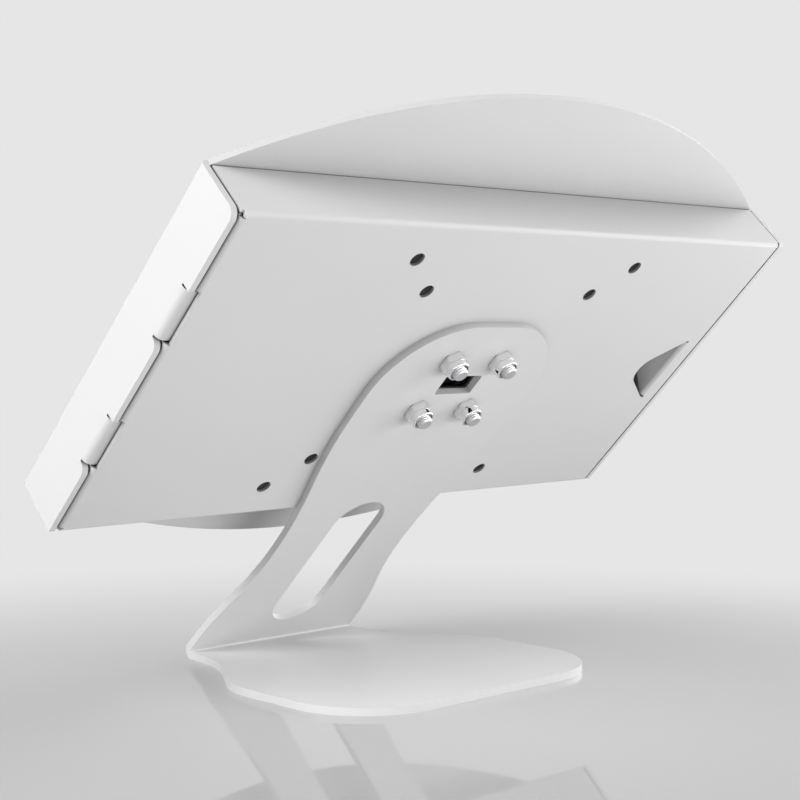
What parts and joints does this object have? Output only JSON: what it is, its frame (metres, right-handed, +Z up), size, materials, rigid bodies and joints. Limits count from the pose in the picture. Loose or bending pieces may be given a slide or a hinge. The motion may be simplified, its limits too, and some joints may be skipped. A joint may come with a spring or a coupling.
{
  "type": "tablet security kiosk stand",
  "caption": "Locking sheet-metal tablet enclosure with an arched front cover on hook hinges, bolted to a bent plate desk stand.",
  "frame": {"origin": "centre line of the stand on the underside of the base, midway along the base", "axes": "+Z up, +Y to the back (the bolt side), +X to the hinge side"},
  "size_m": [0.249, 0.154, 0.1863],
  "materials": {
    "white_coat": "fine textured powder coat",
    "zinc_plate": "bright zinc plated",
    "nut_chrome": "polished",
    "nylon": "matte",
    "guide_plastic": "matte moulded",
    "tape": "matte",
    "foam": "closed-cell foam",
    "gasket": "soft matte"
  },
  "bodies": {
    "enclosure": {"stand_plate": "white_coat", "back_box": "white_coat", "backing_plate": "zinc_plate", "stand_bolts": "zinc_plate", "nyloc_nuts": "nut_chrome", "nut_inserts": "nylon", "lock_keeper": "zinc_plate", "corner_guides": "guide_plastic", "guide_tapes": "tape", "foam_liner": "foam"},
    "cover": {"front_cover": "white_coat", "lock_barrel": "nut_chrome", "barrel_washer": "zinc_plate", "barrel_nut": "zinc_plate", "window_gasket": "gasket"},
    "key_plug": {"lock_plug": "nut_chrome", "plug_clip": "zinc_plate", "lock_cam": "zinc_plate", "cam_washer": "zinc_plate", "cam_screw": "zinc_plate"}
  },
  "joints": [
    {"name": "cover_hinge", "type": "hinge", "parent": "enclosure", "child": "cover", "pos_m": [0.1221, 0.03935, 0.1027], "axis": [0, 0.7071, 0.7071], "range_deg": [0, 95]},
    {"name": "key_turn", "type": "hinge", "parent": "cover", "child": "key_plug", "pos_m": [-0.1209, 0.00456, 0.08092], "axis": [-1, 0, 0], "range_deg": [0, 90]}
  ]
}
